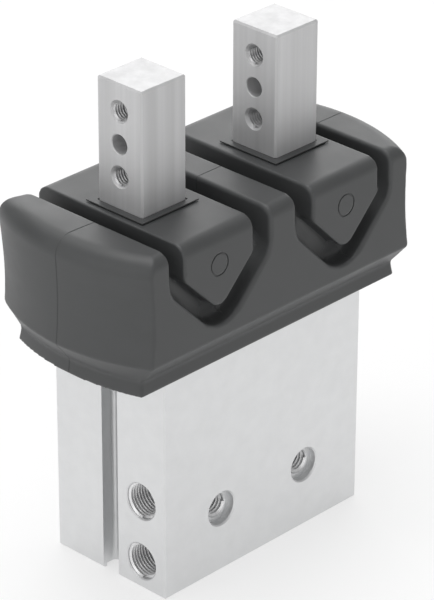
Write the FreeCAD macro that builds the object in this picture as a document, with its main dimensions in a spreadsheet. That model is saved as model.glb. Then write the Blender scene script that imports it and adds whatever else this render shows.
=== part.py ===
import FreeCAD, Part
import os
from math import atan2
from types import SimpleNamespace

import Sketcher
from FreeCAD import Placement, Rotation, Vector

# Parallel gripper with a square jaw on each side under one moulded rubber cap.
# Millimetres. The origin is the centre of the base face, X is the way the jaws
# slide, -Y is the broad front with the two screw holes, +Z is up.

SIZES = {
    # housing block
    "body_length": 70.0,
    "body_depth": 38.0,
    "block_top": 66.0,
    "head_depth": 34.0,
    "head_top": 72.0,
    "edge_break": 0.4,
    # cylinder and its air ports
    "bore_radius": 15.0,
    "port_radius": 4.86,
    "port_reach": 8.5,
    "port_bevel": 0.3,
    "port_low": 7.6,
    "port_high": 24.8,
    "port_offset": 10.65,
    "air_radius": 1.5,
    "air_offset": 9.5,
    "air_from_cover": 1.7,
    "air_from_roof": 1.8,
    "air_end": 9.0,
    # sensor slots in the narrow faces
    "slot_mouth": 5.4,
    "slot_lip": 1.1,
    "slot_width": 7.4,
    "slot_reach": 5.1,
    "slot_round": 1.3,
    "slot_end": 60.0,
    # screw holes, each with a recess for a centring sleeve
    "mount_spacing": 30.0,
    "back_spacing": 40.0,
    "mount_level": 17.7,
    "base_spacing": 48.0,
    "sleeve_radius": 4.5,
    "sleeve_seat": 2.1,
    "mount_radius": 3.0,
    "mount_reach": 8.2,
    "mount_bevel": 0.35,
    # drive cavity
    "cavity_play": 0.5,
    "cavity_round": 2.0,
    # fits
    "slide_gap": 0.05,
    "seat_gap": 0.03,
    "rub_gap": 0.05,
    "piston_gap": 0.3,
    # base cover and its ring
    "ring_level": 1.1,
    "ring_thick": 1.0,
    "ring_inner": 13.2,
    "ring_bite": 0.9,
    "ring_mouth": 9.0,
    "ring_lug": 2.6,
    "ring_eye": 0.8,
    "cover_thick": 4.0,
    "cover_dish": 1.4,
    "cover_dish_radius": 9.0,
    "cord_radius": 0.8,
    "cord_squeeze": 0.1,
    # piston
    "piston_room": 0.6,
    "roof_room": 0.7,
    "land": 0.8,
    "guide_band": 1.8,
    "guide_deep": 1.0,
    "seal_band": 2.2,
    "seal_deep": 2.0,
    "boss_radius": 8.5,
    "boss_drop": 2.3,
    "stop_radius": 8.0,
    "stop_rise": 2.9,
    "nut_pocket": 7.8,
    "nut_deep": 4.2,
    "nut_flats": 13.0,
    "nut_thick": 4.0,
    "magnet_radius": 12.6,
    "magnet_thick": 2.0,
    # rod and gland
    "rod_radius": 5.0,
    "spigot_radius": 4.0,
    "spigot_reach": 11.3,
    "stud_reach": 9.5,
    "gland_radius": 9.0,
    "gland_length": 6.0,
    "lip_seal_low": 0.8,
    "lip_seal_tall": 2.2,
    "lip_seal_deep": 2.0,
    "gland_cord_low": 3.6,
    # wedge hook and its hooks in the jaws
    "wedge_room": 1.0,
    "wedge_tall": 14.0,
    "wedge_foot": 8.0,
    "wedge_slope": 0.6,
    "wedge_thick": 14.0,
    "hook_neck": 2.0,
    "hook_neck_thick": 6.0,
    "hook_head": 2.4,
    "hook_head_thick": 11.0,
    "hook_gap": 0.08,
    "drive_travel": 5.0,
    "run_out": 0.6,
    # jaws
    "jaw_centre": 23.0,
    "flange_length": 32.0,
    "flange_width": 22.0,
    "neck_length": 24.0,
    "neck_width": 16.0,
    "neck_rise": 0.6,
    "post_side": 15.0,
    "post_top": 132.0,
    "post_bevel": 0.5,
    "leg_inner": 8.0,
    "leg_wall": 0.86,
    "leg_room": 0.3,
    "leg_width": 17.0,
    "leg_lift": 0.5,
    "leg_bevel": 2.0,
    "finger_hole_radius": 2.5,
    "finger_hole_drop": 7.2,
    "finger_hole_pitch": 17.0,
    "finger_countersink": 0.5,
    "finger_pin_bevel": 0.2,
    # guide rails, screws and dowels
    "rail_thick": 4.5,
    "rail_screw_in": 3.0,
    "rail_screw_near": 12.0,
    "rail_screw_end": 5.0,
    "screw_radius": 1.45,
    "screw_reach": 8.0,
    "screw_head_radius": 2.75,
    "screw_head_tall": 2.0,
    "screw_socket": 1.15,
    "screw_socket_deep": 1.2,
    "screw_sink": 2.2,
    "dowel_radius": 1.25,
    "dowel_reach": 4.0,
    # rubber cap
    "cap_bottom": 61.8,
    "cap_top": 98.0,
    "skirt_top": 67.0,
    "lip_level": 71.6,
    "skirt_wall": 2.3,
    "skirt_draft": 0.5,
    "skirt_reach": 13.4,
    "skirt_sweep": 64.0,
    "lip_flare": 4.3,
    "brow_draft": 0.9,
    "front_round": 4.2,
    "end_inset": 25.4,
    "end_sweep": 44.1,
    "end_draft": 0.6,
    "end_round": 5.5,
    "end_hollow": 80.0,
    "cap_wall": 2.2,
    "cap_floor": 3.0,
    "cap_fit": 0.1,
    "bead_tall": 2.0,
    "bead_deep": 1.0,
    # folds round the islands
    "island_half": 12.2,
    "island_foot": 78.8,
    "foot_round": 2.9,
    "shoulder_round": 2.5,
    "fold_width": 4.8,
    "fold_clear": 1.6,
    "fold_top": 8.0,
    "fold_wall": 1.5,
    "collar_gap": 0.15,
    "collar_wall": 1.1,
    "collar_lip": 1.9,
    "collar_neck": 0.7,
    "collar_thick": 0.7,
    "sleeve_wall": 1.6,
    "sleeve_drop": 8.0,
}

OVER = 1.0
SHADOW = 0.01
DIAGONAL = 0.5 ** 0.5

doc = FreeCAD.newDocument("parallel_gripper")
sheet = doc.addObject("Spreadsheet::Sheet", "Sizes")


class Size:
    """A length that carries its value and the sheet formula it comes from."""

    def __init__(self, value, text):
        self.value = float(value)
        self.text = text

    def __add__(self, other):
        other = as_size(other)
        return Size(self.value + other.value, f"({self.text} + {other.text})")

    def __sub__(self, other):
        other = as_size(other)
        return Size(self.value - other.value, f"({self.text} - {other.text})")

    def __mul__(self, other):
        other = as_size(other)
        return Size(self.value * other.value, f"{self.text} * {other.text}")

    def __truediv__(self, other):
        other = as_size(other)
        return Size(self.value / other.value, f"{self.text} / {other.text}")

    def __neg__(self):
        return Size(-self.value, f"(0 - {self.text})")

    def root(self):
        """The square root."""
        return Size(self.value ** 0.5, f"sqrt({self.text})")

    __radd__ = __add__
    __rmul__ = __mul__

    def __rsub__(self, other):
        return as_size(other) - self


def as_size(number):
    """A plain number as a Size, or a Size as it is."""
    if isinstance(number, Size):
        return number
    return Size(number, f"({float(number)})")


def fill_sheet():
    """Write each driving dimension in a cell of its own, named by its alias."""
    for row, (alias, number) in enumerate(SIZES.items(), start=1):
        sheet.set(f"A{row}", alias)
        sheet.set(f"B{row}", str(number))
        sheet.setAlias(f"B{row}", alias)
    doc.recompute()
    return SimpleNamespace(**{a: Size(n, f"Sizes.{a}") for a, n in SIZES.items()})


s = fill_sheet()

PLANES = {
    "XY": Rotation(),
    "XZ": Rotation(Vector(1, 0, 0), 90),
    "YZ": Rotation(Vector(1, 1, 1), 120),
}


def bind(thing, prop, size):
    """Tie a property to the sheet."""
    thing.setExpression(prop, as_size(size).text)


def new_body(name):
    """A body that makes one piece from sketches and features."""
    return doc.addObject("PartDesign::Body", name)


def body_sketch(body, plane, offset=0.0):
    """A sketch on one of a body's own planes, moved along the plane's normal."""
    sketch = body.newObject("Sketcher::SketchObject", f"{body.Name}_sketch")
    role = f"{plane}_Plane"
    origin_plane = [f for f in body.Origin.OriginFeatures if f.Role == role][0]
    sketch.AttachmentSupport = [(origin_plane, "")]
    sketch.MapMode = "FlatFace"
    bind(sketch, "AttachmentOffset.Base.z", offset)
    return sketch


def free_sketch(name, plane):
    """A sketch on a main plane of the model."""
    sketch = doc.addObject("Sketcher::SketchObject", name)
    sketch.Placement = Placement(Vector(), PLANES[plane])
    return sketch


def place_point(sketch, edge, end, point):
    """Fix one end of an edge at a point given by two sizes."""
    for kind, size in zip(("DistanceX", "DistanceY"), point):
        rule = Sketcher.Constraint(kind, -1, 1, edge, end, as_size(size).value)
        number = sketch.addConstraint(rule)
        sketch.setExpression(f"Constraints[{number}]", as_size(size).text)


def flat(point):
    """The present position of a point given by two sizes."""
    return Vector(as_size(point[0]).value, as_size(point[1]).value, 0)


def arc_between(start, end, radius, turn):
    """An arc from start to end, its centre on the left of the chord for turn +1."""
    chord = end - start
    half = chord.Length / 2
    rise = (radius * radius - half * half) ** 0.5
    side = Vector(-chord.y, chord.x, 0).normalize()
    centre = start + chord * 0.5 + side * (rise * turn)
    ends = (start, end) if turn > 0 else (end, start)
    angles = [atan2(point.y - centre.y, point.x - centre.x) for point in ends]
    return Part.ArcOfCircle(Part.Circle(centre, Vector(0, 0, 1), radius), *angles)


def outline(sketch, points):
    """Draw a closed outline.

    Each point is (x, y), or (x, y, radius, turn) where an arc leads to it.
    """
    first = sketch.GeometryCount
    count = len(points)
    ends = []
    for number in range(count):
        start = points[number - 1]
        target = points[number]
        if len(target) == 4:
            radius, turn = target[2:]
            arc = arc_between(flat(start), flat(target), radius.value, turn)
            edge = sketch.addGeometry(arc, False)
            ends.append((1, 2) if turn > 0 else (2, 1))
            rule = Sketcher.Constraint("Radius", edge, radius.value)
            number_of_rule = sketch.addConstraint(rule)
            sketch.setExpression(f"Constraints[{number_of_rule}]", radius.text)
        else:
            line = Part.LineSegment(flat(start), flat(target))
            sketch.addGeometry(line, False)
            ends.append((1, 2))
    for number in range(count):
        following = (number + 1) % count
        join = Sketcher.Constraint(
            "Coincident", first + number, ends[number][1], first + following, ends[following][0]
        )
        sketch.addConstraint(join)
        place_point(sketch, first + number, ends[number][1], points[number][:2])
    return sketch


def circle(sketch, centre, radius):
    """Draw a circle whose centre and radius come from sizes."""
    shape = Part.Circle(flat(centre), Vector(0, 0, 1), radius.value)
    edge = sketch.addGeometry(shape, False)
    number = sketch.addConstraint(Sketcher.Constraint("Radius", edge, radius.value))
    sketch.setExpression(f"Constraints[{number}]", radius.text)
    place_point(sketch, edge, 3, centre)
    return sketch


def rectangle(sketch, x_from, x_to, y_from, y_to):
    """Draw an upright rectangle."""
    return outline(sketch, [(x_from, y_from), (x_to, y_from), (x_to, y_to), (x_from, y_to)])


def pad(body, sketch, length, both_ways=False, back=False):
    """Raise a sketch into solid material."""
    feature = body.newObject("PartDesign::Pad", f"{body.Name}_pad")
    feature.Profile = sketch
    bind(feature, "Length", length)
    if both_ways:
        feature.SideType = "Symmetric"
    feature.Reversed = back
    doc.recompute()
    return feature


def removed_something(body, before):
    """Stop if a cut took nothing away."""
    if body.Shape.Volume > before - 1e-3:
        raise ValueError(f"{body.Label}: {body.Tip.Name} cuts nothing")


def pocket(body, sketch, length, both_ways=False, back=False):
    """Sink a sketch into the body: down its normal, or up it with back."""
    before = body.Shape.Volume
    feature = body.newObject("PartDesign::Pocket", f"{body.Name}_pocket")
    feature.Profile = sketch
    bind(feature, "Length", length)
    if both_ways:
        feature.SideType = "Symmetric"
    feature.Reversed = back
    doc.recompute()
    removed_something(body, before)
    return feature


def turn(body, points):
    """Turn a half profile of (radius, height) points about the vertical axis."""
    sketch = outline(body_sketch(body, "XZ"), points)
    feature = body.newObject("PartDesign::Revolution", f"{body.Name}_turned")
    feature.Profile = sketch
    feature.ReferenceAxis = (sketch, ["V_Axis"])
    feature.Angle = 360.0
    doc.recompute()
    return feature


def turn_away(body, points):
    """Turn a groove of (radius, height) points out of the body."""
    before = body.Shape.Volume
    sketch = outline(body_sketch(body, "XZ"), points)
    feature = body.newObject("PartDesign::Groove", f"{body.Name}_groove")
    feature.Profile = sketch
    feature.ReferenceAxis = (sketch, ["V_Axis"])
    feature.Angle = 360.0
    doc.recompute()
    removed_something(body, before)
    return feature


def ring_profile(r_from, r_to, z_from, z_to):
    """The half profile of a plain ring."""
    return [(r_from, z_from), (r_to, z_from), (r_to, z_to), (r_from, z_to)]


def edges_where(shape, test):
    """The names of the edges for which test is true."""
    return [f"Edge{i}" for i, edge in enumerate(shape.Edges, start=1) if test(edge)]


def bevel(body, size, test):
    """Chamfer the edges of a body that test picks."""
    names = edges_where(body.Shape, test)
    if not names:
        raise ValueError(f"{body.Label}: no edge to bevel")
    base = body.Tip
    feature = body.newObject("PartDesign::Chamfer", f"{body.Name}_bevel")
    feature.Base = (base, names)
    bind(feature, "Size", size)
    doc.recompute()
    return feature


def soften(body, size, test):
    """Round the edges of a body that test picks."""
    names = edges_where(body.Shape, test)
    if not names:
        raise ValueError(f"{body.Label}: no edge to round")
    base = body.Tip
    feature = body.newObject("PartDesign::Fillet", f"{body.Name}_round")
    feature.Base = (base, names)
    bind(feature, "Radius", size)
    doc.recompute()
    return feature


def near(a, b):
    """Whether two lengths are the same."""
    return abs(a - as_size(b).value) < SHADOW


def is_circle(edge, radius):
    """Whether an edge is a circle or arc of a radius."""
    return edge.Curve.TypeId == "Part::GeomCircle" and near(edge.Curve.Radius, radius)


def is_line_along(edge, axis):
    """Whether an edge is a straight line along X, Y or Z."""
    if edge.Curve.TypeId not in ("Part::GeomLine", "Part::GeomLineSegment"):
        return False
    step = edge.Vertexes[-1].Point - edge.Vertexes[0].Point
    return near(abs(getattr(step, axis)), step.Length)


def box(name, x_from, x_to, y_from, y_to, z_from, z_to):
    """A block between two corners."""
    solid = doc.addObject("Part::Box", name)
    spans = (("x", "Length", x_from, x_to), ("y", "Width", y_from, y_to), ("z", "Height", z_from, z_to))
    for axis, side, low, high in spans:
        bind(solid, side, as_size(high) - as_size(low))
        bind(solid, f"Placement.Base.{axis}", low)
    return solid


def cord_ring(name, radius, cord, level):
    """A ring of round cord about the vertical axis."""
    ring = doc.addObject("Part::Torus", name)
    bind(ring, "Radius1", radius)
    bind(ring, "Radius2", cord)
    bind(ring, "Placement.Base.z", level)
    return ring


def combine(kind, name, shapes):
    """Fuse or intersect several solids."""
    result = doc.addObject(f"Part::Multi{kind}", name)
    result.Shapes = shapes
    doc.recompute()
    return result


def cut(name, base, tool):
    """Take one solid away from another."""
    result = doc.addObject("Part::Cut", name)
    result.Base = base
    result.Tool = tool
    doc.recompute()
    return result


def extruded(name, sketch, length):
    """A sketch drawn out evenly to both sides of its plane."""
    solid = doc.addObject("Part::Extrusion", name)
    solid.Base = sketch
    solid.DirMode = "Normal"
    solid.Solid = True
    solid.Symmetric = True
    bind(solid, "LengthFwd", length)
    return solid


def mirrored(name, source):
    """The mirror image of a solid across the YZ plane."""
    image = doc.addObject("Part::Mirroring", name)
    image.Source = source
    image.Normal = Vector(1, 0, 0)
    return image


half_length = s.body_length / 2
half_depth = s.body_depth / 2
half_head = s.head_depth / 2
half_flange = s.flange_width / 2
rail_top = s.head_top + s.rail_thick
rail_screw_y = half_head - s.rail_screw_in
rail_screw_far = half_length - s.rail_screw_end
rail_dowel_at = (s.rail_screw_near + rail_screw_far) / 2
finger_hole_high = s.post_top - s.finger_hole_drop
finger_pin_level = finger_hole_high - s.finger_hole_pitch / 2
finger_hole_low = finger_hole_high - s.finger_hole_pitch

ring_top = s.ring_level + s.ring_thick
cover_top = ring_top + s.cover_thick
piston_level = cover_top + s.piston_room + s.drive_travel + s.boss_drop
guide_low = piston_level + s.land
seal_low = guide_low + s.guide_band + s.land
piston_top = seal_low + s.seal_band + s.land
piston_radius = s.bore_radius - s.piston_gap
boss_bottom = piston_level - s.boss_drop
stop_top = piston_top + s.stop_rise
nut_seat = boss_bottom + s.nut_deep

bore_top = stop_top + s.drive_travel + s.roof_room
cavity_floor = bore_top + s.gland_length
wedge_level = cavity_floor + s.drive_travel + s.wedge_room
wedge_top = wedge_level + s.wedge_tall
notch_level = wedge_top + s.drive_travel + s.run_out
leg_foot = wedge_level + s.leg_lift

skirt_half = half_depth + s.skirt_wall
lip_half = skirt_half + s.lip_flare
brow_half = lip_half - s.brow_draft
end_centre = half_length - s.end_inset
skirt_centre = half_length + s.skirt_reach - s.skirt_sweep
brow_end = s.end_sweep - s.end_draft
fold_front = lip_half - s.fold_wall - s.fold_clear - half_head


def wedge_face(level):
    """Half width of the wedge at a level: it widens upwards."""
    return s.wedge_foot + (as_size(level) - wedge_level) * s.wedge_slope


hook_deep = s.hook_neck + s.hook_head + s.hook_gap
leg_outer = wedge_face(notch_level) + hook_deep + s.leg_wall
cavity_x = leg_outer + s.drive_travel * s.wedge_slope + s.leg_room
cavity_y = s.leg_width / 2 + s.cavity_play


def slant_band(near_step, far_step, low, high, side=1):
    """A band along the wedge's face, between two horizontal steps outwards."""
    return [
        (side * (wedge_face(low) + near_step), low),
        (side * (wedge_face(low) + far_step), low),
        (side * (wedge_face(high) + far_step), high),
        (side * (wedge_face(high) + near_step), high),
    ]


def slot_outline(side):
    """The undercut sensor slot in plan, in the face on one side."""
    mouth = s.slot_mouth / 2
    wide = s.slot_width / 2
    face = half_length + OVER
    lip = half_length - s.slot_lip
    bottom = half_length - s.slot_reach
    radius = s.slot_round
    return [
        (side * face, -mouth),
        (side * lip, -mouth),
        (side * lip, -wide),
        (side * (bottom + radius), -wide),
        (side * bottom, radius - wide, radius, -side),
        (side * bottom, wide - radius),
        (side * (bottom + radius), wide, radius, -side),
        (side * lip, wide),
        (side * lip, mouth),
        (side * face, mouth),
    ]


def screw_hole(body, plane, offset, centres, back):
    """Threaded holes that each start in the recess for a centring sleeve."""
    steps = ((s.sleeve_radius, s.sleeve_seat), (s.mount_radius, s.mount_reach))
    for radius, reach in steps:
        sketch = body_sketch(body, plane, offset)
        for centre in centres:
            circle(sketch, centre, radius)
        pocket(body, sketch, reach, back=back)


def make_housing():
    """The anodised block with cylinder, drive cavity, jaw channel, ports and slots."""
    body = new_body("housing")
    block = rectangle(body_sketch(body, "XY"), -half_length, half_length, -half_depth, half_depth)
    pad(body, block, s.block_top)
    head = body_sketch(body, "XY", s.block_top)
    pad(body, rectangle(head, -half_length, half_length, -half_head, half_head), s.head_top - s.block_top)
    bevel(body, s.edge_break, is_outer_block_edge)

    channel = half_flange + s.slide_gap
    sketch = rectangle(body_sketch(body, "YZ"), -channel, channel, s.block_top, s.head_top + OVER)
    pocket(body, sketch, s.body_length + OVER, both_ways=True)

    sketch = body_sketch(body, "XY", s.block_top)
    rectangle(sketch, -cavity_x, cavity_x, -cavity_y, cavity_y)
    pocket(body, sketch, s.block_top - cavity_floor)
    soften(body, s.cavity_round, is_cavity_corner)

    pocket(body, circle(body_sketch(body, "XY"), (0, 0), s.bore_radius), bore_top, back=True)
    sketch = circle(body_sketch(body, "XY", cavity_floor), (0, 0), s.gland_radius + s.seat_gap)
    pocket(body, sketch, s.gland_length + OVER)
    ring_groove = ring_profile(
        s.bore_radius - OVER,
        s.bore_radius + s.ring_bite + s.rub_gap,
        s.ring_level - s.rub_gap,
        ring_top + s.rub_gap,
    )
    turn_away(body, ring_groove)

    for side in (-1, 1):
        pocket(body, outline(body_sketch(body, "XY"), slot_outline(side)), s.slot_end, back=True)

    sketch = body_sketch(body, "XY", s.cap_bottom - s.cap_fit)
    rectangle(sketch, -half_length - OVER, half_length + OVER, -half_depth - OVER, half_depth + OVER)
    inner_x = half_length - s.bead_deep - s.cap_fit
    inner_y = half_depth - s.bead_deep - s.cap_fit
    rectangle(sketch, -inner_x, inner_x, -inner_y, inner_y)
    pocket(body, sketch, s.bead_tall + 2 * s.cap_fit, back=True)

    sketch = body_sketch(body, "YZ", -half_length)
    for level in (s.port_low, s.port_high):
        circle(sketch, (-s.port_offset, level), s.port_radius)
    pocket(body, sketch, s.port_reach, back=True)
    sketch = body_sketch(body, "YZ", -half_length)
    for level in (cover_top + s.air_from_cover, bore_top - s.air_from_roof):
        circle(sketch, (-s.air_offset, level), s.air_radius)
    pocket(body, sketch, half_length - s.air_end, back=True)

    front_pair = [(-s.mount_spacing / 2, s.mount_level), (s.mount_spacing / 2, s.mount_level)]
    screw_hole(body, "XZ", half_depth, front_pair, back=False)
    back_pair = [(-s.back_spacing / 2, s.mount_level), (s.back_spacing / 2, s.mount_level)]
    screw_hole(body, "XZ", -half_depth, back_pair, back=True)
    base_pair = [(-s.base_spacing / 2, 0), (s.base_spacing / 2, 0)]
    screw_hole(body, "XY", 0, base_pair, back=True)

    sketch = body_sketch(body, "XY", s.head_top)
    for x in rail_screw_places():
        for y in (-rail_screw_y, rail_screw_y):
            circle(sketch, (x, y), s.screw_radius + s.rub_gap)
    pocket(body, sketch, s.screw_reach)
    sketch = body_sketch(body, "XY", s.head_top)
    for x in (-rail_dowel_at, rail_dowel_at):
        for y in (-rail_screw_y, rail_screw_y):
            circle(sketch, (x, y), s.dowel_radius + s.seat_gap)
    pocket(body, sketch, s.dowel_reach)

    bevel(body, s.port_bevel, is_port_mouth)
    bevel(body, s.mount_bevel, is_mount_edge)
    return body


def is_outer_block_edge(edge):
    """The block's upright corners and the rim of its base."""
    box_of = edge.BoundBox
    upright = is_line_along(edge, "z") and near(abs(box_of.Center.y), half_depth)
    return upright or near(box_of.ZMax, 0)


def is_cavity_corner(edge):
    """The four upright corners of the drive cavity."""
    centre = edge.BoundBox.Center
    in_corner = near(abs(centre.x), cavity_x) and near(abs(centre.y), cavity_y)
    return is_line_along(edge, "z") and in_corner


def is_port_mouth(edge):
    """The rims of the air ports."""
    return is_circle(edge, s.port_radius) and near(edge.BoundBox.Center.x, -half_length)


def is_mount_edge(edge):
    """The rims of the sleeve recesses and of the threads in them."""
    centre = edge.BoundBox.Center
    on_face = near(abs(centre.y), half_depth) or near(centre.z, 0)
    on_seat = near(abs(centre.y), half_depth - s.sleeve_seat) or near(centre.z, s.sleeve_seat)
    rim = is_circle(edge, s.sleeve_radius) and on_face
    return rim or (is_circle(edge, s.mount_radius) and on_seat)


def rail_screw_places():
    """Where the rail screws stand along X."""
    return (-rail_screw_far, -s.rail_screw_near, s.rail_screw_near, rail_screw_far)


def make_base_cover():
    """The disc that closes the cylinder, with a groove for its seal."""
    body = new_body("base_cover")
    radius = s.bore_radius - s.seat_gap
    points = [
        (s.cover_dish_radius, ring_top),
        (radius, ring_top),
        (radius, cover_top),
        (0, cover_top),
        (0, ring_top + s.cover_dish),
        (s.cover_dish_radius, ring_top + s.cover_dish),
    ]
    turn(body, points)
    middle = ring_top + s.cover_thick / 2
    groove = s.bore_radius - s.rub_gap - 2 * s.cord_radius + s.cord_squeeze
    turn_away(body, ring_profile(groove, radius + OVER, middle - s.cord_radius, middle + s.cord_radius))
    return body


def make_base_cover_seal():
    """The cord ring in the base cover's groove."""
    centre = s.bore_radius - s.rub_gap - s.cord_radius + s.cord_squeeze / 2
    return cord_ring(
        "base_cover_seal", centre, s.cord_radius - s.cord_squeeze / 2, ring_top + s.cover_thick / 2
    )


def make_retaining_ring():
    """The sprung ring with two lugs that holds the base cover in."""
    body = new_body("retaining_ring")
    outer = s.bore_radius + s.ring_bite
    turn(body, ring_profile(s.ring_inner, outer, s.ring_level, ring_top))
    half_mouth = s.ring_mouth / 2
    sketch = body_sketch(body, "XY", s.ring_level)
    rectangle(sketch, -half_mouth, half_mouth, 0, outer + OVER)
    pocket(body, sketch, s.ring_thick, back=True)
    lug_y = s.ring_inner - s.ring_lug / 2
    for side in (-1, 1):
        sketch = body_sketch(body, "XY", s.ring_level)
        circle(sketch, (side * (half_mouth + s.ring_lug / 2), lug_y), s.ring_lug)
        pad(body, sketch, s.ring_thick)
    sketch = body_sketch(body, "XY", s.ring_level)
    for side in (-1, 1):
        circle(sketch, (side * (half_mouth + s.ring_lug / 2), lug_y), s.ring_eye)
    pocket(body, sketch, s.ring_thick, back=True)
    return body


def make_rod_gland():
    """The bronze bush between cylinder and drive cavity."""
    body = new_body("rod_gland")
    inner = s.rod_radius + s.rub_gap
    turn(body, ring_profile(inner, s.gland_radius, bore_top, cavity_floor))
    low = bore_top + s.lip_seal_low
    turn_away(body, ring_profile(inner - OVER, inner + s.lip_seal_deep, low, low + s.lip_seal_tall))
    depth = 2 * s.cord_radius - s.cord_squeeze
    low = bore_top + s.gland_cord_low
    outer = s.gland_radius + OVER
    turn_away(body, ring_profile(s.gland_radius - depth, outer, low, low + 2 * s.cord_radius))
    return body


def make_gland_seal():
    """The cord ring round the bush."""
    cord = s.cord_radius - s.cord_squeeze / 2
    centre = s.gland_radius - cord
    return cord_ring("gland_seal", centre, cord, bore_top + s.gland_cord_low + s.cord_radius)


def lip_ring(name, r_in, r_out, z_from, z_to):
    """A moulded seal ring with a dished face on its pressure side."""
    body = new_body(name)
    middle = (r_in + r_out) / 2
    points = [
        (r_in, z_from),
        (middle, z_from + (z_to - z_from) / 3),
        (r_out, z_from),
        (r_out, z_to),
        (r_in, z_to),
    ]
    turn(body, points)
    return body


def make_rod_seal():
    """The lip ring inside the bush, round the rod."""
    low = bore_top + s.lip_seal_low + s.rub_gap
    inner = s.rod_radius + s.rub_gap
    outer = inner + s.lip_seal_deep - s.rub_gap
    return lip_ring("rod_seal", inner, outer, low, low + s.lip_seal_tall - 2 * s.rub_gap)


def make_piston():
    """The piston with its seal grooves, nut pocket and end stops."""
    body = new_body("piston")
    hole = s.spigot_radius + s.seat_gap
    points = [
        (s.nut_pocket, boss_bottom),
        (s.boss_radius, boss_bottom),
        (s.boss_radius, piston_level),
        (piston_radius, piston_level),
        (piston_radius, piston_top),
        (s.stop_radius, piston_top),
        (s.stop_radius, stop_top),
        (hole, stop_top),
        (hole, nut_seat),
        (s.nut_pocket, nut_seat),
    ]
    turn(body, points)
    outer = piston_radius + OVER
    for low, band, deep in ((guide_low, s.guide_band, s.guide_deep), (seal_low, s.seal_band, s.seal_deep)):
        turn_away(body, ring_profile(piston_radius - deep, outer, low, low + band))
    return body


def make_piston_seal():
    """The lip ring between piston and cylinder."""
    inner = piston_radius - s.seal_deep + s.rub_gap
    low = seal_low + s.rub_gap
    return lip_ring("piston_seal", inner, s.bore_radius - s.rub_gap, low, low + s.seal_band - 2 * s.rub_gap)


def make_piston_guide_ring():
    """The slit guide band in the piston's lower groove."""
    body = new_body("piston_guide_ring")
    inner = piston_radius - s.guide_deep + s.rub_gap
    low = guide_low + s.rub_gap
    band = s.guide_band - 2 * s.rub_gap
    turn(body, ring_profile(inner, s.bore_radius - s.rub_gap, low, low + band))
    sketch = body_sketch(body, "XY", low)
    rectangle(sketch, -s.land / 2, s.land / 2, 0, s.bore_radius + OVER)
    pocket(body, sketch, band, back=True)
    return body


def make_sensor_magnet():
    """The ring magnet under the piston that the sensors in the slots feel."""
    body = new_body("sensor_magnet")
    low = piston_level - s.magnet_thick
    turn(body, ring_profile(s.boss_radius + s.seat_gap, s.magnet_radius, low, piston_level))
    return body


def make_piston_nut():
    """The thin hexagon nut that clamps the piston to the rod."""
    prism = doc.addObject("Part::Prism", "piston_nut_blank")
    prism.Polygon = 6
    bind(prism, "Circumradius", s.nut_flats / 1.7320508)
    bind(prism, "Height", s.nut_thick)
    bind(prism, "Placement.Base.z", nut_seat - s.nut_thick)
    hole = doc.addObject("Part::Cylinder", "piston_nut_hole")
    bind(hole, "Radius", s.spigot_radius + s.seat_gap)
    bind(hole, "Height", s.nut_thick + 2 * OVER)
    bind(hole, "Placement.Base.z", nut_seat - s.nut_thick - OVER)
    return cut("piston_nut", prism, hole)


def make_piston_rod():
    """The rod from the piston up into the wedge hook."""
    body = new_body("piston_rod")
    spigot_end = stop_top - s.spigot_reach
    stud_end = wedge_level + s.stud_reach
    points = [
        (0, spigot_end),
        (s.spigot_radius - s.edge_break, spigot_end),
        (s.spigot_radius, spigot_end + s.edge_break),
        (s.spigot_radius, stop_top),
        (s.rod_radius, stop_top),
        (s.rod_radius, wedge_level),
        (s.spigot_radius, wedge_level),
        (s.spigot_radius, stud_end - s.edge_break),
        (s.spigot_radius - s.edge_break, stud_end),
        (0, stud_end),
    ]
    turn(body, points)
    return body


def make_wedge_hook():
    """The wedge that rises with the piston, a T-shaped hook along each slanted side."""
    body = new_body("wedge_hook")
    low = wedge_level
    neck_end = s.hook_neck + s.hook_head
    foot = wedge_face(low)
    brow = wedge_face(wedge_top)
    core = [(-foot, low), (foot, low), (brow, wedge_top), (-brow, wedge_top)]
    pad(body, outline(body_sketch(body, "XZ"), core), s.wedge_thick, both_ways=True)
    wide = [
        (-foot - neck_end, low),
        (foot + neck_end, low),
        (brow + neck_end, wedge_top),
        (-brow - neck_end, wedge_top),
    ]
    pad(body, outline(body_sketch(body, "XZ"), wide), s.hook_neck_thick, both_ways=True)
    for side in (-1, 1):
        head = slant_band(s.hook_neck, neck_end, low, wedge_top, side)
        pad(body, outline(body_sketch(body, "XZ"), head), s.hook_head_thick, both_ways=True)
    hole = circle(body_sketch(body, "XY", low), (0, 0), s.spigot_radius + s.seat_gap)
    pocket(body, hole, s.stud_reach + OVER, back=True)
    return body


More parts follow.
